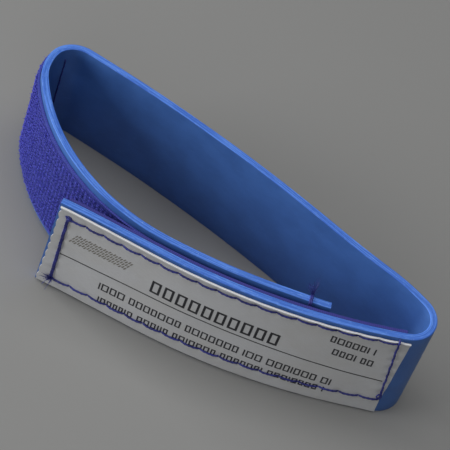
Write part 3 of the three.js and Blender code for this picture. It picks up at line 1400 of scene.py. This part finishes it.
    def _threads(self) -> Iterator[bpy.types.Object]:
        """The upright rows of stitching near the tape's two ends."""
        layers = self.line.layers
        thread = SewingThread().material()
        low = self.margin + self.stitch_from_edge
        high = self.high - self.stitch_from_edge
        pile_top = layers.pile_tips - self.sunk_in_pile
        needle = Stitcher(self.line, lambda along, up: pile_top, radius=self.thread_radius)
        bobbin = Stitcher(
            self.line,
            lambda along, up: -layers.outer_face,
            outwards=-1,
            radius=self.thread_radius,
        )
        places = {
            "inner_end": self.start + self.stitch_from_end,
            "far_end": self.end - self.stitch_from_end,
        }
        for end, along in places.items():
            for kind, stitcher in (("needle", needle), ("bobbin", bobbin)):
                node = f"tape_{kind}_thread_{end}"
                skin = Skin()
                top = (along + self.stitch_slant, high)
                row = StitchRow((along, low), top, self.stitch_pitch)
                stitcher.sew(skin, row)
                if (kind, end) == ("needle", "inner_end"):
                    self._wrap(skin, needle, along)
                made = skin.piece(f"{node}_stitches", self.line, [thread])
                yield place_on(made, Body.ARM, Slot.THREAD, node)

    def _wrap(self, skin: Skin, stitcher: Stitcher, along: float) -> None:
        """Adds the thread end that is brought over the strap's upper edge, and its frayed tail.

        Args:
            skin: What it is added to.
            stitcher: What sews the row that it comes from.
            along: Where that row is.
        """
        layers = self.line.layers
        radius = 1.2 * stitcher.radius
        clear = layers.outer_face + radius * 0.8
        top = layers.width + radius * 0.7
        stitch_high = self.high - self.stitch_from_edge
        route = [
            (along, layers.pile_tips, stitch_high),
            (along, layers.pile_tips + 0.05 * MM, self.high - 0.3 * MM),
            (along + 0.05 * MM, clear + 0.25 * MM, layers.width - 0.8 * MM),
            (along + 0.1 * MM, clear, layers.width - 0.1 * MM),
            (along + 0.12 * MM, layers.outer_face * 0.6, top),
            (along + 0.1 * MM, 0.0, top + 0.05 * MM),
            (along + 0.05 * MM, -layers.outer_face * 0.6, top),
            (along, -clear, layers.width - 0.1 * MM),
            (along - 0.05 * MM, -clear - 0.05 * MM, layers.width - 1.2 * MM),
            (along - 0.05 * MM, -clear, stitch_high),
        ]
        for shift in (0.0, 0.3 * MM):
            shifted = [(place[0] + shift, place[1], place[2]) for place in route]
            skin.tube(rounded(shifted, 4), radius, 8, stitcher.ply, stitcher.twist)
        at = (along + 0.1 * MM, -clear, layers.width - 0.2 * MM)
        stitcher.tuft(skin, at, (0.2, -0.7, 0.75), strands=44, length=2.2 * MM, spread=0.6)


def rounded(route: Sequence[Place], parts: int) -> list[Place]:
    """A smooth curve through the points of a route.

    Args:
        route: The points.
        parts: How many steps there are between two of them.

    Returns:
        The points of the curve.
    """
    points = [Vector(route[0]), *map(Vector, route), Vector(route[-1])]
    curve = []
    for before, first, second, after in zip(points, points[1:], points[2:], points[3:], strict=False):
        for part in range(parts):
            share = part / parts
            bend = (second - before) * share
            bend += (2 * before - 5 * first + 4 * second - after) * share**2
            bend += (3 * first - before - 3 * second + after) * share**3
            curve.append(tuple(first + bend / 2))
    curve.append(tuple(points[-1]))
    return curve


# ---------------------------------------------------------------------------
# The hook tape
# ---------------------------------------------------------------------------


@dataclass
class HookTape:
    """The tape of stiff hooks on the tab's inner face."""

    line: StrapLine
    past_joint: float = 1.6 * MM
    from_tip: float = 1.2 * MM
    margin: float = 0.2 * MM
    ground: float = 0.34 * MM
    selvage: float = 0.9 * MM
    selvage_rise: float = 0.36 * MM
    hook_pitch: float = 1.25 * MM
    row_pitch: float = 1.05 * MM
    hook_radius: float = 0.085 * MM
    hook_height: float = 0.38 * MM
    hook_inset: float = 1.1 * MM
    hook_end_inset: float = 0.6 * MM
    hook_sunk: float = 0.05 * MM
    hook_shift: float = 0.08 * MM
    kinds_each_way: int = 6

    @property
    def start(self) -> float:
        """Where the tape starts, past the bend's last joint."""
        return self.line.joint(self.line.bend_joints - 1) + self.past_joint

    @property
    def end(self) -> float:
        """Where the tape ends, short of the tab's tip."""
        return self.line.length - self.from_tip

    @property
    def high(self) -> float:
        """The height of its upper edge."""
        return self.line.layers.width - self.margin

    def build(self) -> Iterator[bpy.types.Object]:
        """Builds the ground and the hooks."""
        layers = self.line.layers
        ground = TapeGround(
            "hook_tape_ground", colour=(0.022, 0.02, 0.16), rib=(0.05, 0.055, 0.34), pitch=0.42
        ).material()
        # The hooks' darker root colour is painted shade near the tape's ground.
        plastic = NapYarn(
            "hook_monofilament",
            root=(0.024, 0.022, 0.17),
            tip=(0.055, 0.06, 0.36),
            glint=(0.10, 0.12, 0.55),
            root_out=layers.hook_back - self.ground,
            tip_out=layers.hook_tips,
            sheen=0.0,
            roughness=0.3,
        ).material()
        base = self._ground().piece("hook_tape_ground", self.line, [ground])
        place_on(base, Body.TAB, Slot.HOOKS, "hook_tape")
        flat = (self.high - self.margin, self.end - self.start)
        yield base
        hooks = self._hooks().piece("hook_tape_hooks", self.line, [plastic])
        yield place_on(hooks, Body.TAB, Slot.HOOKS)

    def _ground(self) -> Skin:
        """The woven ground with its ribs."""
        back = self.line.layers.hook_back
        heights = stations(self.margin, self.high, 0.4 * MM)
        rings = []
        for along in stations(self.start, self.end, 0.5 * MM):
            front = []
            for up in heights:
                fuzz = 0.04 * MM * ripple((along, 0, up), (1.3, 1, 2.1), 5.0)
                inset = min(up - self.margin, self.high - up)
                rim = self.selvage_rise * float(smooth_step(self.selvage, 0.5 * self.selvage, inset))
                front.append((along, back - self.ground - fuzz - rim, up))
            rear = [(along, back, up) for _, _, up in reversed(front)]
            rings.append(np.array(front + rear))
        skin = Skin()
        skin.loft(rings)
        return skin

    def _hooks(self) -> Skin:
        """Rows of hooks that curl over by turns to one side and the other."""
        chance = random.Random(23)
        each_way = self.kinds_each_way
        kinds = [self._hook(chance, side) for side in (-1, 1) for _ in range(each_way)]
        root = self.line.layers.hook_back - self.ground + self.hook_sunk
        skin = Skin()
        rows = int((self.high - self.margin - 2 * self.hook_inset) / self.row_pitch)
        columns = int((self.end - self.start - 2 * self.hook_end_inset) / self.hook_pitch)
        for column in range(columns + 1):
            for row in range(rows + 1):
                along = self.start + self.hook_end_inset + column * self.hook_pitch
                up = self.margin + self.hook_inset + row * self.row_pitch
                kind = kinds[(row % 2) * each_way + chance.randrange(each_way)]
                along += chance.uniform(-self.hook_shift, self.hook_shift)
                skin.stamp(kind, (along, root, up))
        return skin

    def _hook(self, chance: random.Random, side: int) -> Skin:
        """One hook: a stalk whose end curls over and down.

        Args:
            chance: What draws how far it curls.
            side: 1 if it curls towards the tab's tip, and -1 if away from it.

        Returns:
            The hook, standing at the origin.
        """
        curl = self.hook_height * 0.42
        stalk = self.hook_height - curl
        route: list[Place] = [(0.0, 0.0, 0.0), (0.0, -stalk, 0.0)]
        reach = chance.uniform(1.15, 1.4)
        for step in range(1, 6):
            angle = math.pi * reach * step / 5
            along = side * curl * (1 - math.cos(angle))
            route.append((along, -stalk - curl * math.sin(angle), chance.uniform(-0.02, 0.02) * MM))
        skin = Skin()
        skin.tube(route, self.hook_radius, 5)
        return skin


# ---------------------------------------------------------------------------
# The woven label
# ---------------------------------------------------------------------------


@dataclass(frozen=True)
class PrintedLine:
    """One line of print, which bows up at its middle, in millimetres of the label's layout."""

    SPAN: ClassVar[float] = 73.0

    left: float
    right: float
    base: float
    tall: float
    rise: float = 0.0
    fall: float = 0.0

    def low(self, across: float) -> float:
        """The height of its lower edge at a distance from the label's free end."""
        share = across / self.SPAN
        return self.base + self.rise * math.sin(math.pi * share) - self.fall * share


@dataclass
class WovenLabel:
    """The label on the tab's outer face, with its print and its stitched rectangle.

    Its own layout is in millimetres: how far from its free end, by the tab's tip, and how high
    above the strap's lower edge.
    """

    PRINT_STEP: ClassVar[float] = 0.7
    LOW_MARK: ClassVar[float] = 0.8

    line: StrapLine
    tip_low: tuple[float, float] = (2.6, 2.8)
    tip_high: tuple[float, float] = (2.1, 22.4)
    root_high: tuple[float, float] = (71.8, 24.1)
    root_low: tuple[float, float] = (73.7, 4.8)
    knot: tuple[float, float] = (2.3, 22.5)
    knot_stitches: int = 4
    tuft: tuple[float, float] = (2.9, 2.7)
    loose_loop: tuple[float, float] = (73.3, 6.4)
    rule: PrintedLine = PrintedLine(2.8, 72.5, base=11.05, tall=0.26, rise=1.55, fall=0.1)
    title: PrintedLine = PrintedLine(22.5, 50.5, base=14.0, tall=3.6, rise=0.35, fall=1.06)
    small_print: tuple[PrintedLine, ...] = (
        PrintedLine(12.5, 63.4, base=6.3, tall=2.1, rise=1.55, fall=1.15),
        PrintedLine(13.1, 62.9, base=2.2, tall=1.7, rise=1.2, fall=-0.6),
        PrintedLine(59.0, 68.7, base=27.3, tall=1.9, fall=9.0),
        PrintedLine(60.4, 69.1, base=23.8, tall=1.9, fall=9.2),
    )
    emblem: PrintedLine = PrintedLine(3.7, 16.58, base=16.2, tall=0.72, rise=0.3)
    title_blocks: int = 10
    title_block_width: float = 2.1
    title_stroke: float = 0.5
    small_stroke: float = 0.3
    small_gap: float = 0.34
    word_gap: float = 0.75
    emblem_strokes: int = 23
    emblem_rows: int = 3
    emblem_stroke: float = 0.3
    emblem_slant: float = 0.4
    thread_radius: float = 0.2 * MM
    bobbin_radius: float = 0.17 * MM
    bobbin_hump: float = 0.02 * MM
    bobbin_out: float = 0.32 * MM
    past_joint: float = 1.0 * MM
    from_tip: float = 0.5 * MM
    low_margin: float = 0.45 * MM
    high_margin_tip: float = 0.35 * MM
    high_margin_root: float = 0.75 * MM
    end_wave: float = 0.16 * MM
    end_wave_pitch: float = 2.7 * MM
    end_bow: float = 0.2 * MM
    end_lead: float = 0.45 * MM
    hem_rise: float = 0.34 * MM
    hem_height: float = 0.5 * MM
    dent: float = 0.24 * MM
    dent_reach: float = 0.75 * MM
    billow: float = 0.16 * MM
    print_rise: float = 0.03 * MM
    print_depth: float = 0.08 * MM
    cloth_columns: int = 190
    cloth_rows: int = 66

    def __post_init__(self) -> None:
        """Works out where the needle went through."""
        self.rows = self._stitch_rows()
        self.holes = np.array([hole for row in self.rows for hole in row.holes()])

    @property
    def start(self) -> float:
        """Where the label starts, past the bend's last joint."""
        return self.line.joint(self.line.bend_joints - 1) + self.past_joint

    @property
    def end(self) -> float:
        """Where the label ends, near the tab's tip."""
        return self.line.length - self.from_tip

    def at(self, across: float, up: float) -> tuple[float, float]:
        """A place of the label's layout, as along and up on the strap."""
        return self.end - across * MM, up * MM

    def high(self, along: float) -> float:
        """The height of the label's upper edge, which falls a little towards the bend."""
        share = (along - self.start) / (self.end - self.start)
        margin = self.high_margin_root + (self.high_margin_tip - self.high_margin_root) * share
        return self.line.layers.width - margin

    def _stitch_rows(self) -> list[StitchRow]:
        """The four sides of the stitched rectangle, which was sewn a little askew."""
        corners = (self.tip_low, self.tip_high, self.root_high, self.root_low)
        tip_low, tip_high, root_high, root_low = (self.at(*corner) for corner in corners)
        return [
            StitchRow(tip_high, tip_low, pitch=3.3 * MM, doubled=True),
            StitchRow(tip_high, root_high, pitch=4.1 * MM),
            StitchRow(root_high, root_low, pitch=2.9 * MM),
            StitchRow(tip_low, root_low, pitch=4.1 * MM),
        ]

    def front(self, along: float, up: float) -> float:
        """How far out the label's printed face lies, dented where the needle went through."""
        layers = self.line.layers
        away = (self.holes[:, 0] - along) ** 2 + (self.holes[:, 1] - up) ** 2
        dent = float(np.exp(-away / self.dent_reach**2).max())
        share = min(max(up / layers.width, 0.0), 1.0)
        swell = math.sin(math.pi * share) ** 0.5
        lumps = 0.5 + 0.5 * ripple((along, 0, up), (0.11, 1, 0.16), 41.0)
        out = layers.label_front + self.billow * swell * lumps - self.dent * dent
        inset = self.high(along) - up
        hem = math.exp(-((max(inset - 0.12 * MM, 0.0) / self.hem_height) ** 2))
        return out + self.hem_rise * hem

    def build(self) -> Iterator[bpy.types.Object]:
        """Builds the cloth, the print and the threads."""
        weave = LabelWeave().material()
        ink = PrintInk("label_ink", (0.018, 0.018, 0.024), (0.16, 0.16, 0.17)).material()
        faint = PrintInk("label_faint_ink", (0.20, 0.19, 0.165), (0.42, 0.41, 0.38)).material()
        cloth = self._cloth().piece("label_cloth", self.line, [weave])
        place_on(cloth, Body.TAB, Slot.LABEL, "label")
        flat = (self.line.layers.width - 2 * self.low_margin, self.end - self.start)
        yield cloth
        printed = self._print().piece("label_print", self.line, [ink, faint])
        yield place_on(printed, Body.TAB, Slot.LABEL)
        yield from self._threads()

    def _cloth(self) -> Skin:
        """The label's cloth: hemmed along its top, wavy where its free end was cut."""
        layers = self.line.layers
        rings = []
        for column in range(self.cloth_columns + 1):
            share = column / self.cloth_columns
            front = []
            for row in range(self.cloth_rows + 1):
                rise = row / self.cloth_rows
                end = self.end - self._cut_back(rise)
                along = self.start + 0.2 * MM * ripple((0, 0, rise * self.end), (1, 1, 0.01), 2.0)
                along += (end - along) * share
                high = self.high(along)
                up = self.low_margin + (high - self.low_margin) * rise
                edge = 0.07 * MM * ripple((along, 0, 0), (0.45, 1, 1), 55.0)
                up += edge * (2 * rise - 1)
                front.append((along, self.front(along, up), up))
            back = []
            for along, out, up in reversed(front):
                thin = out - layers.label - 0.06 * MM
                back.append((along, max(thin, layers.outer_face + 0.05 * MM), up))
            rings.append(np.array(front + back))
        skin = Skin()
        skin.loft(rings)
        return skin

    def _cut_back(self, rise: float) -> float:
        """How far the free end's cut edge is drawn back at a share of the label's height."""
        height = self.line.layers.width * rise
        wave = math.cos(FULL_TURN * height / self.end_wave_pitch)
        stray = ripple((height, 0, 0), (0.5, 1, 1), 77.0)
        bow = self.end_bow * math.sin(math.pi * rise)
        return bow + self.end_wave * (1 + 0.9 * wave + stray) - self.end_lead * (1 - 0.6 * rise)

    def _slab(
        self,
        skin: Skin,
        left: float,
        right: float,
        low: Callable[[float], float],
        tall: float,
        slant: float = 0.0,
        slot: int = 0,
    ) -> None:
        """Adds one printed mark, a thin film that follows the cloth.

        Args:
            skin: What it is added to.
            left: Where it starts, in millimetres from the label's free end.
            right: Where it ends.
            low: The height of its lower edge at each of those distances, in millimetres.
            tall: How tall it is, in millimetres.
            slant: How far its top leans to the right, in millimetres.
            slot: Its ink.
        """
        steps = max(1, math.ceil((right - left) / self.PRINT_STEP))
        rings = []
        for step in range(steps + 1):
            across = left + (right - left) * step / steps
            lifts = [0.0, 1.0] if tall < self.LOW_MARK else [0.0, 0.34, 0.67, 1.0]
            face = []
            for lift in lifts:
                along, up = self.at(across + slant * lift, low(across) + tall * lift)
                face.append((along, self.front(along, up) + self.print_rise, up))
            sunk = [(along, out - self.print_depth, up) for along, out, up in reversed(face)]
            rings.append(np.array(face + sunk))
        skin.loft(rings, [slot] * (2 * len(lifts)))

    def _print(self) -> Skin:
        """Generic marks in place of the printed lines: blocks, bars and one long rule."""
        chance = random.Random(3)
        skin = Skin()
        self._slab(skin, self.rule.left, self.rule.right, self.rule.low, self.rule.tall)
        title = self.title
        pitch = (title.right - title.left) / self.title_blocks
        for block in range(self.title_blocks):
            left = title.left + block * pitch
            right = left + self.title_block_width
            self._box(skin, left, right, title.low, title.tall, self.title_stroke)
        for line in self.small_print:
            self._words(skin, chance, line)
        self._emblem(skin)
        return skin

    def _box(
        self,
        skin: Skin,
        left: float,
        right: float,
        low: Callable[[float], float],
        tall: float,
        stroke: float,
    ) -> None:
        """Adds an upright hollow block.

        Args:
            skin: What it is added to.
            left: Where it starts.
            right: Where it ends.
            low: The height of its lower edge.
            tall: How tall it is.
            stroke: How wide its four strokes are.
        """
        self._slab(skin, left, left + stroke, low, tall)
        self._slab(skin, right - stroke, right, low, tall)
        inner_left = left + stroke
        inner_right = right - stroke
        self._slab(skin, inner_left, inner_right, low, stroke)
        self._slab(skin, inner_left, inner_right, lambda x: low(x) + tall - stroke, stroke)

    def _words(self, skin: Skin, chance: random.Random, line: PrintedLine) -> None:
        """Adds small hollow blocks and bars in groups, as small print looks from afar.

        Args:
            skin: What they are added to.
            chance: What draws their widths and groups.
            line: Where they stand.
        """
        across = line.left
        in_group = chance.randint(3, 8)
        while across < line.right - 0.5:
            wide = min(line.tall * chance.uniform(0.55, 0.75), line.right - across)
            if chance.random() < 0.25 or wide < 3 * self.small_stroke:
                wide = self.small_stroke
                self._slab(skin, across, across + wide, line.low, line.tall)
            else:
                self._box(skin, across, across + wide, line.low, line.tall, self.small_stroke)
            across += wide + self.small_gap
            in_group -= 1
            if in_group == 0:
                across += self.word_gap
                in_group = chance.randint(3, 8)

    def _emblem(self, skin: Skin) -> None:
        """Adds a plain slanting band of chequered hatching."""
        line = self.emblem
        pitch = (line.right - line.left) / self.emblem_strokes
        for stroke in range(self.emblem_strokes):
            for row in range(self.emblem_rows):
                lift = row + (0.25 if stroke % 2 else 0.0)
                start = line.left + stroke * pitch + lift * 0.5
                raised = replace(line, base=line.base + lift)
                end = start + self.emblem_stroke
                self._slab(skin, start, end, raised.low, line.tall, self.emblem_slant, slot=1)

    def _threads(self) -> Iterator[bpy.types.Object]:
        """The needle thread on the label and the bobbin thread on the hook tape."""
        layers = self.line.layers
        thread = SewingThread().material()
        needle = Stitcher(self.line, self.front, radius=self.thread_radius)
        skin = Skin()
        for row in self.rows:
            needle.sew(skin, row)
        self._knot(skin, needle, self.at(*self.knot))
        self._ends(skin, needle)
        made = skin.piece("label_needle_stitches", self.line, [thread])
        yield place_on(made, Body.TAB, Slot.THREAD, "label_needle_thread")

        hook_face = layers.hook_back - self.bobbin_out
        bobbin = Stitcher(
            self.line,
            lambda along, up: hook_face,
            outwards=-1,
            radius=self.bobbin_radius,
            hump=self.bobbin_hump,
        )
        skin = Skin()
        for row in self.rows:
            bobbin.sew(skin, replace(row, doubled=False))
        made = skin.piece("label_bobbin_stitches", self.line, [thread])
        yield place_on(made, Body.TAB, Slot.THREAD, "label_bobbin_thread")

    def _knot(self, skin: Skin, needle: Stitcher, at: tuple[float, float]) -> None:
        """Adds the back-stitched lump where the seam starts.

        Args:
            skin: What it is added to.
            needle: What sews the seam.
            at: Its middle, as along and up.
        """
        along, up = at
        for number in range(self.knot_stitches):
            turn = 0.5 + number * 0.75
            reach = (0.95 - 0.12 * number) * MM
            side = (math.cos(turn) * reach, math.sin(turn) * reach * 0.7)
            first = (along - side[0], up - side[1])
            second = (along + side[0], up + side[1])
            heaped = replace(needle, hump=(0.12 + 0.1 * number) * MM)
            heaped.sew(skin, StitchRow(first, second, pitch=4 * MM))

    def _ends(self, skin: Skin, needle: Stitcher) -> None:
        """Adds the cut thread ends: a frayed tuft, a loose loop and a turn over the label's hem.

        Args:
            skin: What they are added to.
            needle: What sews the seam.
        """
        along, up = self.at(*self.tuft)
        face = self.front(along, up)
        at = (along, face + 0.15 * MM, up)
        needle.tuft(skin, at, (0.9, 0.7, 0.25), strands=110, length=1.25 * MM, spread=0.95)

        along, up = self.at(*self.loose_loop)
        face = self.front(along, up)
        loop = []
        for step in range(15):
            angle = FULL_TURN * (0.15 + 0.8 * step / 14)
            swing = 0.62 * MM
            lift = needle.radius + 0.3 * MM * math.sin(math.pi * step / 14)
            loop.append(
                (along - math.cos(angle) * swing * 0.8, face + lift, up + math.sin(angle) * swing)
            )
        skin.tube(loop, needle.radius * 0.7, 7, needle.ply, needle.twist)

        along, up = self.at(*self.root_high)
        top = self.high(along)
        face = self.front(along, top)
        hem = [
            (along, self.front(along, up) + needle.radius, up),
            (along + 0.05 * MM, face + 0.2 * MM, top - 0.2 * MM),
            (along + 0.08 * MM, face - 0.05 * MM, top + 0.3 * MM),
            (along + 0.1 * MM, face - 0.45 * MM, top + 0.4 * MM),
        ]
        skin.tube(rounded(hem, 4), needle.radius, 8, needle.ply, needle.twist)


# ---------------------------------------------------------------------------
# Studio
# ---------------------------------------------------------------------------


@dataclass(frozen=True)
class SoftLight:
    """A square studio light aimed at the strap."""

    name: str
    place: tuple[float, float, float]
    side: float
    watts: float

    def build(self) -> None:
        """Hangs the light."""
        lamp = bpy.data.lights.new(self.name, "AREA")
        lamp.shape = "SQUARE"
        lamp.size = self.side
        lamp.energy = self.watts
        hung = bpy.data.objects.new(self.name, lamp)
        hung.location = self.place
        aim = Vector(self.place).normalized()
        hung.rotation_euler = aim.to_track_quat("Z", "Y").to_euler()
        bpy.context.scene.collection.objects.link(hung)


@dataclass
class Studio:
    """The floor, the lights and the camera."""

    floor_side: float = 6.0
    floor_drop: float = 0.02 * MM
    sky: Colour = (0.94, 0.97, 1.0)
    sky_strength: float = 0.05
    camera_place: tuple[float, float, float] = (-1.563 * MM, -267.798 * MM, 326.485 * MM)
    camera_pitch: float = math.radians(49.228)
    camera_roll: float = math.radians(22.137)
    camera_heading: float = math.radians(-0.533)
    lens: float = 160.0
    lights: tuple[SoftLight, ...] = (
        SoftLight("top_light", (0.0, 0.05, 1.05), side=0.8, watts=5.0),
        SoftLight("key_light", (-0.95, 0.20, 0.40), side=0.5, watts=6.5),
        SoftLight("fill_light", (-0.90, -0.40, 0.35), side=0.5, watts=4.0),
        SoftLight("front_light", (0.10, -0.90, 0.60), side=0.5, watts=1.3),
    )

    def build(self) -> None:
        """Sets up the whole studio."""
        bpy.context.scene.view_settings.view_transform = "Standard"
        self._camera()
        self._floor()
        self._sky()
        for light in self.lights:
            light.build()

    def _camera(self) -> None:
        """A long lens that looks down on the strap, rolled to one side."""
        lens = bpy.data.cameras.new("camera")
        lens.sensor_width = 36.0
        lens.lens = self.lens
        lens.clip_start = 0.01
        lens.clip_end = 20.0
        lens.dof.use_dof = False
        camera = bpy.data.objects.new("camera", lens)
        tilt = Euler((QUARTER_TURN - self.camera_pitch, 0, 0)).to_matrix()
        roll = Euler((0, 0, self.camera_roll)).to_matrix()
        heading = Euler((0, 0, self.camera_heading)).to_matrix()
        camera.rotation_euler = (heading @ tilt @ roll).to_euler()
        camera.location = self.camera_place
        bpy.context.scene.collection.objects.link(camera)
        bpy.context.scene.camera = camera

    def _floor(self) -> None:
        """A wide pale floor just under the strap's lower edge."""
        half = self.floor_side / 2
        corners = [(-half, -half), (half, -half), (half, half), (-half, half)]
        mesh = bpy.data.meshes.new("floor")
        mesh.from_pydata([(x, y, -self.floor_drop) for x, y in corners], [], [(0, 1, 2, 3)])
        mesh.materials.append(StudioFloor().material())
        floor = bpy.data.objects.new("floor", mesh)
        bpy.context.scene.collection.objects.link(floor)
        floor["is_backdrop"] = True

    def _sky(self) -> None:
        """Even light from all round."""
        world = bpy.data.worlds.new("studio")
        world.use_nodes = True
        background = world.node_tree.nodes["Background"]
        background.inputs["Color"].default_value = (*self.sky, 1.0)
        background.inputs["Strength"].default_value = self.sky_strength
        bpy.context.scene.world = world


def write_sizes() -> None:
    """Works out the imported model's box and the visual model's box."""
    boxes = {"cad": CAD_BOX, "visual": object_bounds()}
    lists = {name: [list(corner) for corner in box] for name, box in boxes.items()}


def main() -> None:
    """Builds the studio and every piece of the strap."""
    logging.basicConfig(level=logging.INFO, format="%(message)s")
    Studio().build()
    line = StrapLine()
    for part in (RubberStrap(line), LoopTape(line), HookTape(line), WovenLabel(line)):
        for piece in part.build():
            log.info("%s: %d faces", piece.name, len(piece.data.polygons))
    write_sizes()


if __name__ == "__main__":
    main()
